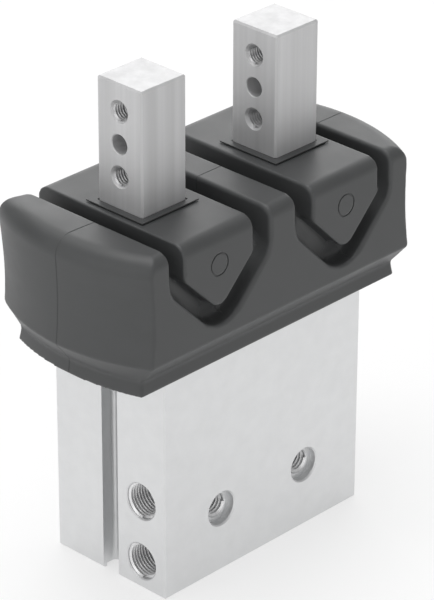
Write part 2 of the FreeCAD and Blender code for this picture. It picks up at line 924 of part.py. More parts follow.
def make_jaw(name, side):
    """One steel jaw: slide flange, hooked leg below, square post above."""
    body = new_body(name)

    def span(length):
        """Both ends of a length centred on the jaw."""
        return side * (s.jaw_centre - length / 2), side * (s.jaw_centre + length / 2)

    flange_low = s.block_top + s.slide_gap
    flange_high = s.head_top - s.slide_gap
    neck_top = rail_top + s.neck_rise
    steps = (
        (s.flange_length, half_flange, flange_low, flange_high),
        (s.neck_length, s.neck_width / 2, flange_high, neck_top),
        (s.post_side, s.post_side / 2, neck_top, s.post_top),
    )
    for length, half_width, low, high in steps:
        sketch = body_sketch(body, "XY", low)
        rectangle(sketch, *span(length), -half_width, half_width)
        pad(body, sketch, high - low)

    face = s.hook_gap
    leg = [
        (side * s.leg_inner, flange_low),
        (side * s.leg_inner, notch_level),
        (side * (wedge_face(notch_level) + face), notch_level),
        (side * (wedge_face(leg_foot) + face), leg_foot),
        (side * leg_outer, leg_foot),
        (side * leg_outer, flange_low),
    ]
    pad(body, outline(body_sketch(body, "XZ"), leg), s.leg_width, both_ways=True)
    below = leg_foot - OVER
    neck = slant_band(s.hook_gap - OVER, hook_deep, below, notch_level, side)
    sketch = outline(body_sketch(body, "XZ"), neck)
    pocket(body, sketch, s.hook_neck_thick + 2 * s.hook_gap, both_ways=True)
    head = slant_band(s.hook_neck - s.hook_gap, hook_deep, below, notch_level, side)
    sketch = outline(body_sketch(body, "XZ"), head)
    pocket(body, sketch, s.hook_head_thick + 2 * s.hook_gap, both_ways=True)

    through = 2 * (s.jaw_centre + s.post_side)
    sketch = body_sketch(body, "YZ")
    for level in (finger_hole_low, finger_pin_level, finger_hole_high):
        circle(sketch, (0, level), s.finger_hole_radius)
    pocket(body, sketch, through, both_ways=True)

    def is_post_edge(edge):
        """The post's upright corners and its top rim."""
        bounds = edge.BoundBox
        return is_line_along(edge, "z") and near(bounds.ZMax, s.post_top) or near(bounds.ZMin, s.post_top)

    def is_leg_corner(edge):
        """The leg's outer upright corners."""
        centre = edge.BoundBox.Center
        outer = near(abs(centre.x), leg_outer) and near(abs(centre.y), s.leg_width / 2)
        return is_line_along(edge, "z") and outer

    def is_tapped_rim(edge):
        """The rims of the two threaded cross holes."""
        level = edge.BoundBox.Center.z
        tapped = near(level, finger_hole_low) or near(level, finger_hole_high)
        return is_circle(edge, s.finger_hole_radius) and tapped

    def is_pin_rim(edge):
        """The rims of the plain cross hole."""
        return is_circle(edge, s.finger_hole_radius) and near(edge.BoundBox.Center.z, finger_pin_level)

    bevel(body, s.leg_bevel, is_leg_corner)
    bevel(body, s.finger_countersink, is_tapped_rim)
    bevel(body, s.finger_pin_bevel, is_pin_rim)
    bevel(body, s.post_bevel, is_post_edge)
    return body


def make_guide_rail(name, side):
    """One ground steel rail that holds the jaw flanges down."""
    body = new_body(name)
    inner = s.neck_width / 2 + s.slide_gap
    sketch = body_sketch(body, "XY", s.head_top)
    rectangle(sketch, -half_length, half_length, side * inner, side * half_head)
    pad(body, sketch, s.rail_thick)
    screws = body_sketch(body, "XY", rail_top)
    sinks = body_sketch(body, "XY", rail_top)
    for x in rail_screw_places():
        circle(screws, (x, side * rail_screw_y), s.screw_radius + s.rub_gap)
        circle(sinks, (x, side * rail_screw_y), s.screw_head_radius + s.rub_gap)
    pocket(body, screws, s.rail_thick)
    pocket(body, sinks, s.screw_sink)
    dowels = body_sketch(body, "XY", rail_top)
    for x in (-rail_dowel_at, rail_dowel_at):
        circle(dowels, (x, side * rail_screw_y), s.dowel_radius + s.seat_gap)
    pocket(body, dowels, s.rail_thick)

    def is_top_inner_edge(edge):
        """The rail's long upper edge beside the jaws."""
        centre = edge.BoundBox.Center
        return is_line_along(edge, "x") and near(centre.z, rail_top) and near(abs(centre.y), inner)

    bevel(body, s.edge_break, is_top_inner_edge)
    return body


def group(name, pattern, places):
    """Like pieces as one group of separate solids."""
    result = doc.addObject("Part::Feature", name)
    result.Shape = Part.makeCompound([pattern.Shape.translated(place) for place in places])
    return result


def make_rail_screws():
    """The low-head socket screws of both rails."""
    seat = rail_top - s.screw_sink
    body = new_body("rail_screw_pattern")
    bottom = s.head_top - s.screw_reach + s.run_out
    points = [
        (0, bottom),
        (s.screw_radius, bottom),
        (s.screw_radius, seat),
        (s.screw_head_radius, seat),
        (s.screw_head_radius, seat + s.screw_head_tall),
        (0, seat + s.screw_head_tall),
    ]
    turn(body, points)
    socket = circle(body_sketch(body, "XY", seat + s.screw_head_tall), (0, 0), s.screw_socket)
    pocket(body, socket, s.screw_socket_deep)
    rows = (-rail_screw_y.value, rail_screw_y.value)
    places = [Vector(x.value, y, 0) for x in rail_screw_places() for y in rows]
    return group("rail_screws", body, places)


def make_rail_dowels():
    """The dowel pins that place both rails."""
    body = new_body("rail_dowel_pattern")
    bottom = s.head_top - s.dowel_reach + s.rub_gap
    turn(body, [(0, bottom), (s.dowel_radius, bottom), (s.dowel_radius, rail_top), (0, rail_top)])
    spots = (-rail_dowel_at.value, rail_dowel_at.value)
    rows = (-rail_screw_y.value, rail_screw_y.value)
    return group("rail_dowels", body, [Vector(x, y, 0) for x in spots for y in rows])


def cap_slab(name, inset, top_inset, bottom, round_radius):
    """The cap's front-to-back section drawn out along X."""
    top = s.cap_top - top_inset
    skirt = skirt_half - inset
    lip = lip_half - inset
    brow = brow_half - inset
    ease = round_radius
    points = [
        (-skirt, bottom),
        (skirt, bottom),
        (skirt, s.skirt_top),
        (lip, s.lip_level),
        (brow, top - ease),
        (brow - ease, top, ease, 1),
        (ease - brow, top),
        (-brow, top - ease, ease, 1),
        (-lip, s.lip_level),
        (-skirt, s.skirt_top),
    ]
    sketch = outline(free_sketch(f"{name}_section", "YZ"), points)
    return extruded(name, sketch, 4 * s.end_sweep)


def cap_ends(name, inset, round_radius):
    """The cap's rounded ends above its lip: half turns about two axes, and the middle."""
    top = s.cap_top - inset
    axis = end_centre
    ease = round_radius
    brow = brow_end - inset
    points = [
        (axis, s.lip_level),
        (axis + s.end_sweep - inset, s.lip_level),
        (axis + brow, top - ease, s.end_hollow, -1),
        (axis + brow - ease, top, ease, 1),
        (axis, top),
    ]
    end = doc.addObject("Part::Revolution", f"{name}_right")
    end.Source = outline(free_sketch(f"{name}_profile", "XZ"), points)
    end.Axis = Vector(0, 0, 1)
    end.Angle = 180.0
    end.Symmetric = True
    end.Solid = True
    bind(end, "Base.x", axis)
    middle = box(f"{name}_middle", -axis, axis, -s.end_sweep, s.end_sweep, s.lip_level, top)
    return combine("Fuse", name, [end, mirrored(f"{name}_left", end), middle])


def cap_plan(name, centre, sweep, half, level):
    """The cap's plan at a level: two straight sides joined by swept ends."""
    corner = centre + (sweep * sweep - half * half).root()
    points = [
        (-corner, -half, sweep, 1),
        (corner, -half),
        (corner, half, sweep, 1),
        (-corner, half),
    ]
    sketch = outline(free_sketch(name, "XY"), points)
    bind(sketch, "Placement.Base.z", level)
    return sketch


def cap_skirt(name, inset, bottom, draft):
    """The skirt below the lip, and the slope that leads out from it to the lip."""
    waist = draft + inset
    plans = [
        cap_plan(f"{name}_foot", skirt_centre, s.skirt_sweep - inset, skirt_half - inset, bottom),
        cap_plan(f"{name}_waist", skirt_centre, s.skirt_sweep - waist, skirt_half - waist, s.skirt_top),
        cap_plan(f"{name}_lip", end_centre, s.end_sweep - inset, lip_half - inset, s.lip_level),
    ]
    skirt = doc.addObject("Part::Loft", name)
    skirt.Sections = plans
    skirt.Solid = True
    skirt.Ruled = True
    return skirt


def cap_form(name, inset, bottom, draft):
    """The cap's outer form, set in all round by a wall."""
    front = cap_slab(f"{name}_slab", inset, inset, bottom, s.front_round - inset)
    ends = cap_ends(f"{name}_ends", inset, s.end_round - inset)
    above = combine("Common", f"{name}_above", [front, ends])
    return combine("Fuse", name, [above, cap_skirt(f"{name}_skirt", inset, bottom, draft)])


def island_prism(name, grow):
    """The pointed outline of one island, grown outwards and drawn out along Y.

    Its foot is a quarter round between two 45 degree flanks, and each flank runs
    into the upright side by a shoulder round. All rounds grow about their centres.
    """
    half = s.island_half + grow
    foot_centre = s.island_foot + s.foot_round
    shoulder_step = s.island_half - s.shoulder_round
    shoulder_level = foot_centre + shoulder_step - (s.foot_round - s.shoulder_round) / DIAGONAL
    foot_reach = (s.foot_round + grow) * DIAGONAL
    shoulder_reach = shoulder_step + (s.shoulder_round + grow) * DIAGONAL
    flank_level = shoulder_level - (s.shoulder_round + grow) * DIAGONAL
    foot = s.foot_round + grow
    shoulder = s.shoulder_round + grow
    high = s.cap_top + 4 * OVER
    points = [
        (s.jaw_centre - half, high),
        (s.jaw_centre - half, shoulder_level),
        (s.jaw_centre - shoulder_reach, flank_level, shoulder, 1),
        (s.jaw_centre - foot_reach, foot_centre - foot_reach),
        (s.jaw_centre + foot_reach, foot_centre - foot_reach, foot, 1),
        (s.jaw_centre + shoulder_reach, flank_level),
        (s.jaw_centre + half, shoulder_level, shoulder, 1),
        (s.jaw_centre + half, high),
    ]
    sketch = outline(free_sketch(f"{name}_outline", "XZ"), points)
    return extruded(name, sketch, 4 * lip_half)


def fold_band(name, grow_in, grow_out, core):
    """The band round both islands, down to a core."""
    wide = island_prism(f"{name}_wide", grow_out)
    narrow = island_prism(f"{name}_narrow", grow_in)
    ring = cut(f"{name}_ring", cut(f"{name}_loop", wide, narrow), core)
    return combine("Fuse", name, [ring, mirrored(f"{name}_image", ring)])


def square_block(name, half, low, high):
    """A square block about the right-hand post."""
    return box(name, s.jaw_centre - half, s.jaw_centre + half, -half, half, low, high)


def make_sealing_cap():
    """The rubber cap: outer form, deep fold round each island, hollow inside, collars."""
    far_down = s.cap_bottom - OVER
    outer = cap_form("cap_outer", as_size(0), s.cap_bottom, s.skirt_draft)
    core = cap_slab("cap_core", fold_front, s.fold_top, far_down, s.front_round / 2)
    shell = cut("cap_shell", outer, fold_band("cap_fold", as_size(0), s.fold_width, core))

    inner = cap_form("cap_inner", s.cap_wall, s.cap_bottom + s.cap_floor, as_size(0))
    deeper = cap_slab(
        "cap_deep_core", fold_front + s.fold_wall, s.fold_top + s.fold_wall, far_down, s.front_round / 2
    )
    thick_band = fold_band("cap_membrane", -s.fold_wall, s.fold_width + s.fold_wall, deeper)
    hollow = cut("cap_hollow", inner, thick_band)
    walls = cut("cap_walls", shell, hollow)

    gap = s.cap_fit
    mouth = box(
        "cap_mouth",
        -half_length - gap,
        half_length + gap,
        -half_depth - gap,
        half_depth + gap,
        s.cap_bottom - OVER,
        s.cap_bottom + s.cap_floor + SHADOW,
    )
    bead_outer = box(
        "cap_bead_outer",
        -half_length - OVER,
        half_length + OVER,
        -half_depth - OVER,
        half_depth + OVER,
        s.cap_bottom,
        s.cap_bottom + s.bead_tall,
    )
    reach = s.bead_deep
    bead_inner = box(
        "cap_bead_inner",
        reach - half_length,
        half_length - reach,
        reach - half_depth,
        half_depth - reach,
        s.cap_bottom - OVER,
        s.cap_bottom + s.bead_tall + OVER,
    )
    bead = cut("cap_bead", bead_outer, bead_inner)
    open_cap = cut("cap_open", walls, mouth)

    hole = s.post_side / 2 + s.collar_gap
    neck_top = s.cap_top + s.collar_neck
    collar = [
        square_block("collar_sleeve", hole + s.sleeve_wall, s.cap_top - s.sleeve_drop, s.cap_top),
        square_block("collar_neck", hole + s.collar_wall, s.cap_top - OVER, neck_top),
        square_block("collar_lip", hole + s.collar_lip, neck_top, neck_top + s.collar_thick),
    ]
    right_collar = combine("Fuse", "collar_right", collar)
    left_collar = mirrored("collar_left", right_collar)
    solid = combine("Fuse", "cap_solid", [open_cap, bead, right_collar, left_collar])
    hole_low = s.cap_top - s.sleeve_drop - OVER
    right_hole = square_block("post_hole_right", hole, hole_low, neck_top + s.collar_thick + OVER)
    holes = combine("Fuse", "post_holes", [right_hole, mirrored("post_hole_left", right_hole)])
    return cut("sealing_cap", solid, holes)


def export(pieces):
    """Check every object and piece, then write each piece to its own file."""
    doc.recompute()
    for thing in doc.Objects:
        if "Invalid" in thing.State or "Error" in thing.State:
            raise ValueError(f"{thing.Name} failed: {thing.State}")
    os.makedirs("parts", exist_ok=True)
    for piece in pieces:
        if piece.Shape.isNull() or not piece.Shape.isValid():
            raise ValueError(f"{piece.Label} has no valid shape")
    for piece in pieces:
        piece.Shape.exportStep(f"parts/{piece.Label}.step")
        print(f"{piece.Label}: {len(piece.Shape.Solids)} solid, {piece.Shape.Volume:.1f} mm3")


export(
    [
        make_housing(),
        make_base_cover(),
        make_base_cover_seal(),
        make_retaining_ring(),
        make_rod_gland(),
        make_gland_seal(),
        make_rod_seal(),
        make_piston(),
        make_piston_seal(),
        make_piston_guide_ring(),
        make_sensor_magnet(),
        make_piston_nut(),
        make_piston_rod(),
        make_wedge_hook(),
        make_jaw("jaw_left", -1),
        make_jaw("jaw_right", 1),
        make_guide_rail("guide_rail_front", -1),
        make_guide_rail("guide_rail_back", 1),
        make_rail_screws(),
        make_rail_dowels(),
        make_sealing_cap(),
    ]
)
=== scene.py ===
import logging
import math
from dataclasses import dataclass, field
from enum import Enum

import bmesh
import bpy
from bmesh.types import BMesh, BMVert
from mathutils import Matrix, Vector
from mathutils.bvhtree import BVHTree


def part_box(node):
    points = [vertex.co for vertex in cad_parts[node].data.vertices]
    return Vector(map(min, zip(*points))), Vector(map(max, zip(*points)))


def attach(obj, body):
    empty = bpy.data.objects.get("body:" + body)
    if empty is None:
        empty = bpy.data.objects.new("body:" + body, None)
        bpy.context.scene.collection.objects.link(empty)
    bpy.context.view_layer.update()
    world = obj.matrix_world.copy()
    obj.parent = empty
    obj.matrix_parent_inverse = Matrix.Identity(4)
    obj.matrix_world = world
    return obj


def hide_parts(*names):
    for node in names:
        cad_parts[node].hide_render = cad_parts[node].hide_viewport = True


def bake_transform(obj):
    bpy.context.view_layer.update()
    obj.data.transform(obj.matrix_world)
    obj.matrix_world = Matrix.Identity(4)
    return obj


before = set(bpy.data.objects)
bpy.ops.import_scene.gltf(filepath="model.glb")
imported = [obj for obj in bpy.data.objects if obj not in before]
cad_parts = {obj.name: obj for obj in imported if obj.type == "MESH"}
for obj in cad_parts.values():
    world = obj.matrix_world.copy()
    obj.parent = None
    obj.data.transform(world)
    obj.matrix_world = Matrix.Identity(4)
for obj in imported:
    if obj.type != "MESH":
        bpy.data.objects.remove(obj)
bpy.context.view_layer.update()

# The looks of a parallel gripper: an anodised block, two ground steel jaws and a
# moulded rubber cap with a deep fold round each jaw. Sizes are millimetres in the
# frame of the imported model, and a finished mesh is scaled to metres.

MM = 0.001
FULL_TURN = 2 * math.pi
DIAGONAL = math.sqrt(0.5)
HALF_CORNER = math.tan(math.pi / 8)
SQUARE_SIDES = 4
SHARP_ANGLE = 1.0
LOG = logging.getLogger("parallel_gripper")

Point = tuple[float, float]
Spot = tuple[float, float, float]


def low_corner(node: str) -> Vector:
    """The lowest corner of a node's box, in millimetres."""
    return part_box(node)[0] / MM


def high_corner(node: str) -> Vector:
    """The highest corner of a node's box, in millimetres."""
    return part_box(node)[1] / MM


class Axis(Enum):
    """The way an outline is drawn out."""

    X = (1.0, 0.0, 0.0)
    Y = (0.0, 1.0, 0.0)
    Z = (0.0, 0.0, 1.0)

    def at(self, a: float, b: float, level: float) -> Spot:
        """Place an outline's point.

        Args:
            a: The first of the two other coordinates.
            b: The second of the two other coordinates.
            level: The coordinate along this axis.

        Returns:
            The point in the part's frame.
        """
        return {"X": (level, a, b), "Y": (a, level, b), "Z": (a, b, level)}[self.name]


class Boolean(Enum):
    """How one solid works on another."""

    TAKE_AWAY = "DIFFERENCE"
    KEEP_COMMON = "INTERSECT"


class Side(Enum):
    """One of the gripper's two jaws."""

    LEFT = -1
    RIGHT = 1

    @property
    def jaw(self) -> str:
        """The name of the jaw's body and node."""
        return f"jaw_{self.name.lower()}"


def arc(centre: Point, radius: float, start: float, end: float, steps: int) -> list[Point]:
    """Walk along an arc.

    Args:
        centre: The arc's centre.
        radius: Its radius.
        start: The angle of its first point, in degrees.
        end: The angle of its last point, in degrees.
        steps: How many chords it is divided into.

    Returns:
        The points, both ends included.
    """
    angles = [math.radians(start + (end - start) * n / steps) for n in range(steps + 1)]
    return [(centre[0] + radius * math.cos(a), centre[1] + radius * math.sin(a)) for a in angles]


def eased(share: float) -> float:
    """A share between nought and one with soft ends."""
    share = min(max(share, 0.0), 1.0)
    return share * share * (3 - 2 * share)


def rectangle(half_x: float, half_y: float, middle: float = 0.0) -> list[Point]:
    """The corners of a rectangle whose middle lies on the X axis."""
    low, high = middle - half_x, middle + half_x
    return [(low, -half_y), (high, -half_y), (high, half_y), (low, half_y)]


def loft(sections: list[tuple[list[Point], float]]) -> BMesh:
    """Join level outlines into a solid.

    Args:
        sections: Each a closed outline and its level, from the lowest to the highest.

    Returns:
        The solid.
    """
    mesh = bmesh.new()
    rings = []
    for outline, level in sections:
        verts = [mesh.verts.new((x, y, level)) for x, y in outline]
        rings.append([mesh.edges.new(pair) for pair in zip(verts, verts[1:] + verts[:1])])
    for low, high in zip(rings, rings[1:]):
        bmesh.ops.bridge_loops(mesh, edges=low + high)
    bmesh.ops.holes_fill(mesh, edges=rings[0] + rings[-1], sides=0)
    bmesh.ops.recalc_face_normals(mesh, faces=mesh.faces[:])
    return mesh


def prism(outline: list[Point], way: Axis, low: float, high: float) -> BMesh:
    """Draw an outline out into a solid.

    Args:
        outline: The points of the closed outline.
        way: The axis that it is drawn out along.
        low: Where the solid starts on that axis.
        high: Where it ends.

    Returns:
        The solid.
    """
    mesh = bmesh.new()
    face = mesh.faces.new([mesh.verts.new(way.at(a, b, low)) for a, b in outline])
    grown = bmesh.ops.extrude_face_region(mesh, geom=[face])
    moved = [part for part in grown["geom"] if isinstance(part, BMVert)]
    bmesh.ops.translate(mesh, verts=moved, vec=Vector(way.value) * (high - low))
    bmesh.ops.recalc_face_normals(mesh, faces=mesh.faces[:])
    return mesh


def square_tube(profile: list[Point], centre: Spot, bevel: float) -> BMesh:
    """Run a closed profile round a square, with mitred corners.

    Args:
        profile: The (half width, height) of each edge of the tube's wall.
        centre: The middle of the square, at height nought.
        bevel: The width of the chamfer on its edges.

    Returns:
        The closed tube.
    """
    mesh = bmesh.new()
    turn = Matrix.Rotation(math.pi / 4, 4, "Z")
    rings = []
    for half, height in profile:
        place = Matrix.Translation(Vector(centre) + Vector((0, 0, height))) @ turn
        ring = bmesh.ops.create_circle(
            mesh, segments=SQUARE_SIDES, radius=half / DIAGONAL, matrix=place
        )
        rings.append(dict.fromkeys(edge for vert in ring["verts"] for edge in vert.link_edges))
    for number, ring in enumerate(rings):
        bmesh.ops.bridge_loops(mesh, edges=list(rings[number - 1] | ring))
    bmesh.ops.recalc_face_normals(mesh, faces=mesh.faces[:])
    sharp = [edge for edge in mesh.edges if edge.calc_face_angle(0) > SHARP_ANGLE]
    bmesh.ops.bevel(
        mesh, geom=sharp, offset=bevel, affect="EDGES", segments=2, profile=0.5, material=-1
    )
    return mesh


class Blank:
    """A closed solid in millimetres that is still being worked."""

    def __init__(self, name: str, mesh: BMesh) -> None:
        """Take over a mesh.

        Args:
            name: What the solid is.
            mesh: Its mesh, which is freed.
        """
        data = bpy.data.meshes.new(name)
        mesh.to_mesh(data)
        mesh.free()
        self.thing = bpy.data.objects.new(name, data)
        bpy.context.scene.collection.objects.link(self.thing)

    def mesh(self) -> BMesh:
        """A new mesh that holds this solid."""
        mesh = bmesh.new()
        mesh.from_mesh(self.thing.data)
        return mesh

    def take(self, mesh: BMesh) -> "Blank":
        """Replace this solid's mesh by another, which is freed."""
        mesh.to_mesh(self.thing.data)
        mesh.free()
        return self

    def copy(self, name: str) -> "Blank":
        """A second solid like this one."""
        return Blank(name, self.mesh())

    def worked(self, kind: str, **settings: object) -> "Blank":
        """Apply a modifier to the solid.

        Args:
            kind: The kind of modifier.
            settings: What to set on it.

        Returns:
            This solid.
        """
        modifier = self.thing.modifiers.new(kind.lower(), kind)
        for name, value in settings.items():
            setattr(modifier, name, value)
        graph = bpy.context.evaluated_depsgraph_get()
        result = bpy.data.meshes.new_from_object(self.thing.evaluated_get(graph))
        self.thing.modifiers.clear()
        old = self.thing.data
        self.thing.data = result
        bpy.data.meshes.remove(old)
        return self

    def combined(self, how: Boolean, *tools: "Blank") -> "Blank":
        """Work on this solid with others, which are used up.

        Args:
            how: What each of them does.
            tools: The other solids.

        Returns:
            This solid.
        """
        for tool in tools:
            self.worked("BOOLEAN", operation=how.value, solver="EXACT", object=tool.thing)
            tool.drop()
        return self

    def drop(self) -> None:
        """Remove the solid."""
        data = self.thing.data
        bpy.data.objects.remove(self.thing)
        bpy.data.meshes.remove(data)

    def finished(self, name: str, finish: bpy.types.Material) -> bpy.types.Object:
        """Turn the solid into a piece of the scene, in metres.

        Args:
            name: The piece's name.
            finish: Its material.

        Returns:
            The piece's object.
        """
        piece = self.thing
        piece.data.transform(Matrix.Scale(MM, 4))
        piece.name = name
        piece.data.name = name
        piece.data.materials.clear()
        piece.data.materials.append(finish)
        LOG.info("%s: %d faces", name, len(piece.data.polygons))
        return piece


class Shader:
    """A material's nodes, built one after the other round a principled shader."""

    PATTERN_MIDDLE = (0.3, 0.7)

    def __init__(self, name: str, metres_per_unit: float = MM) -> None:
        """Start a material.

        Args:
            name: Its name.
            metres_per_unit: The length that a pattern's scale counts in.
        """
        self.material = bpy.data.materials.new(name)
        self.material.use_nodes = True
        self.tree = self.material.node_tree
        self.surface = self.tree.nodes["Principled BSDF"]
        self.unit = metres_per_unit
        self.place = self.tree.nodes.new("ShaderNodeTexCoord").outputs["Object"]

    def set(self, **values: object) -> "Shader":
        """Set sockets of the principled shader, their spaces written as underscores."""
        for name, value in values.items():
            self.surface.inputs[name.replace("_", " ")].default_value = value
        return self

    def node(self, kind: str, **links: object) -> bpy.types.Node:
        """Add a node.

        Args:
            kind: Its type.
            links: What each input socket takes, a socket or a value.

        Returns:
            The node.
        """
        node = self.tree.nodes.new(kind)
        for name, value in links.items():
            socket = node.inputs[name.replace("_", " ")]
            if isinstance(value, bpy.types.NodeSocket):
                self.tree.links.new(value, socket)
            else:
                socket.default_value = value
        return node

    def noise(
        self, size: Spot, detail: float = 3.0, roughness: float = 0.55
    ) -> bpy.types.NodeSocket:
        """A noise pattern on the piece.

        Args:
            size: The length of one blotch along X, Y and Z, in the shader's unit.
            detail: How many finer layers it has.
            roughness: How strong the finer layers are.

        Returns:
            The pattern's value, from nought to one.
        """
        scale = tuple(1 / (side * self.unit) for side in size)
        mapping = self.node("ShaderNodeMapping", Vector=self.place, Scale=scale)
        pattern = self.node(
            "ShaderNodeTexNoise",
            Vector=mapping.outputs[0],
            Scale=1.0,
            Detail=detail,
            Roughness=roughness,
        )
        return pattern.outputs["Fac"]

    def ramp(self, value: bpy.types.NodeSocket, low: float, high: float) -> bpy.types.NodeSocket:
        """Spread a pattern's middle between two values."""
        node = self.node("ShaderNodeMapRange", Value=value)
        names = ("From Min", "From Max", "To Min", "To Max")
        for name, number in zip(names, (*self.PATTERN_MIDDLE, low, high)):
            node.inputs[name].default_value = number
        return node.outputs["Result"]

    def tinted(self, colour: Spot, value: bpy.types.NodeSocket, spread: float) -> "Shader":
        """Vary the base colour by a pattern, up to a share of itself."""
        shade = self.ramp(value, 1 - spread, 1 + spread)
        scaled = self.tree.nodes.new("ShaderNodeVectorMath")
        scaled.operation = "SCALE"
        scaled.inputs[0].default_value = colour
        self.tree.links.new(shade, scaled.inputs["Scale"])
        self.tree.links.new(scaled.outputs[0], self.surface.inputs["Base Color"])
        return self

    def varied(self, name: str, value: bpy.types.NodeSocket, low: float, high: float) -> "Shader":
        """Vary one of the shader's sockets by a pattern."""
        self.tree.links.new(self.ramp(value, low, high), self.surface.inputs[name])
        return self

    def bumped(self, *layers: tuple[bpy.types.NodeSocket, float]) -> "Shader":
        """Give the surface relief.

        Args:
            layers: Each a pattern and its height in the shader's unit.

        Returns:
            This shader.
        """
        normal = None
        for value, height in layers:
            distance = height * self.unit
            node = self.node("ShaderNodeBump", Height=value, Strength=1.0, Distance=distance)
            if normal is not None:
                self.tree.links.new(normal, node.inputs["Normal"])
            normal = node.outputs["Normal"]
        self.tree.links.new(normal, self.surface.inputs["Normal"])
        return self


@dataclass(frozen=True)
class AnodisedAluminium:
    """Clear anodised aluminium: satin, pale, with a very fine even grain."""

    name: str = "anodised_aluminium"
    colour: Spot = (0.74, 0.745, 0.75)
    roughness: tuple[float, float] = (0.40, 0.50)
    grain: float = 0.12
    relief: float = 0.004
    blotch: float = 4.0
    blotch_share: float = 0.02

    def material(self) -> bpy.types.Material:
        """Build the finish."""
        shader = Shader(self.name)
        blotch = shader.noise((self.blotch,) * 3)
        grain = shader.noise((self.grain,) * 3, detail=2.0)
        shader.set(Metallic=1.0)
        shader.tinted(self.colour, blotch, self.blotch_share)
        shader.varied("Roughness", grain, *self.roughness)
        return shader.bumped((grain, self.relief)).material


@dataclass(frozen=True)
class GroundSteel:
    """Bare steel with the lines of the grinding wheel along one axis."""

    name: str
    colour: Spot = (0.60, 0.60, 0.605)
    metallic: float = 0.5
    roughness: tuple[float, float] = (0.46, 0.56)
    line: Spot = (0.25, 0.25, 30.0)
    relief: float = 0.0006
    band: Spot = (3.0, 3.0, 200.0)
    band_share: float = 0.08

    def material(self) -> bpy.types.Material:
        """Build the finish."""
        shader = Shader(self.name)
        line = shader.noise(self.line, detail=4.0, roughness=0.7)
        band = shader.noise(self.band, detail=2.0)
        shader.set(Metallic=self.metallic)
        shader.tinted(self.colour, band, self.band_share)
        shader.varied("Roughness", line, *self.roughness)
        return shader.bumped((line, self.relief)).material


@dataclass(frozen=True)
class CutThread:
    """A thread's bright flanks, cut after the surface treatment."""

    name: str
    colour: Spot = (0.84, 0.84, 0.845)
    metallic: float = 0.75
    roughness: tuple[float, float] = (0.28, 0.40)
    grain: float = 0.3
    relief: float = 0.002
    tint: float = 0.06

    def material(self) -> bpy.types.Material:
        """Build the finish."""
        shader = Shader(self.name)
        grain = shader.noise((self.grain,) * 3)
        shader.set(Metallic=self.metallic)
        shader.tinted(self.colour, grain, self.tint)
        shader.varied("Roughness", grain, *self.roughness)
        return shader.bumped((grain, self.relief)).material


@dataclass(frozen=True)
class MouldedRubber:
    """Dark grey moulded rubber: soft sheen, a fine skin and faint flow marks."""

    name: str
    colour: Spot = (0.055, 0.057, 0.058)
    roughness: tuple[float, float] = (0.42, 0.52)
    skin: float = 0.16
    relief: float = 0.012
    flow: Spot = (9.0, 9.0, 5.0)
    flow_share: float = 0.07
    ior: float = 1.52

    def material(self) -> bpy.types.Material:
        """Build the finish."""
        shader = Shader(self.name)
        flow = shader.noise(self.flow, detail=4.0)
        skin = shader.noise((self.skin,) * 3, detail=2.0)
        shader.set(Metallic=0.0, IOR=self.ior)
        shader.tinted(self.colour, flow, self.flow_share)
        shader.varied("Roughness", flow, *self.roughness)
        return shader.bumped((skin, self.relief)).material


@dataclass(frozen=True)
class PlainFinish:
    """A finish for the working parts inside: one colour with a fine grain."""

    name: str
    colour: Spot
    metallic: float
    roughness: tuple[float, float]
    grain: float = 0.4
    relief: float = 0.004
    tint: float = 0.05

    def material(self) -> bpy.types.Material:
        """Build the finish."""
        shader = Shader(self.name)
        grain = shader.noise((self.grain,) * 3)
        shader.set(Metallic=self.metallic)
        shader.tinted(self.colour, grain, self.tint)
        shader.varied("Roughness", grain, *self.roughness)
        return shader.bumped((grain, self.relief)).material


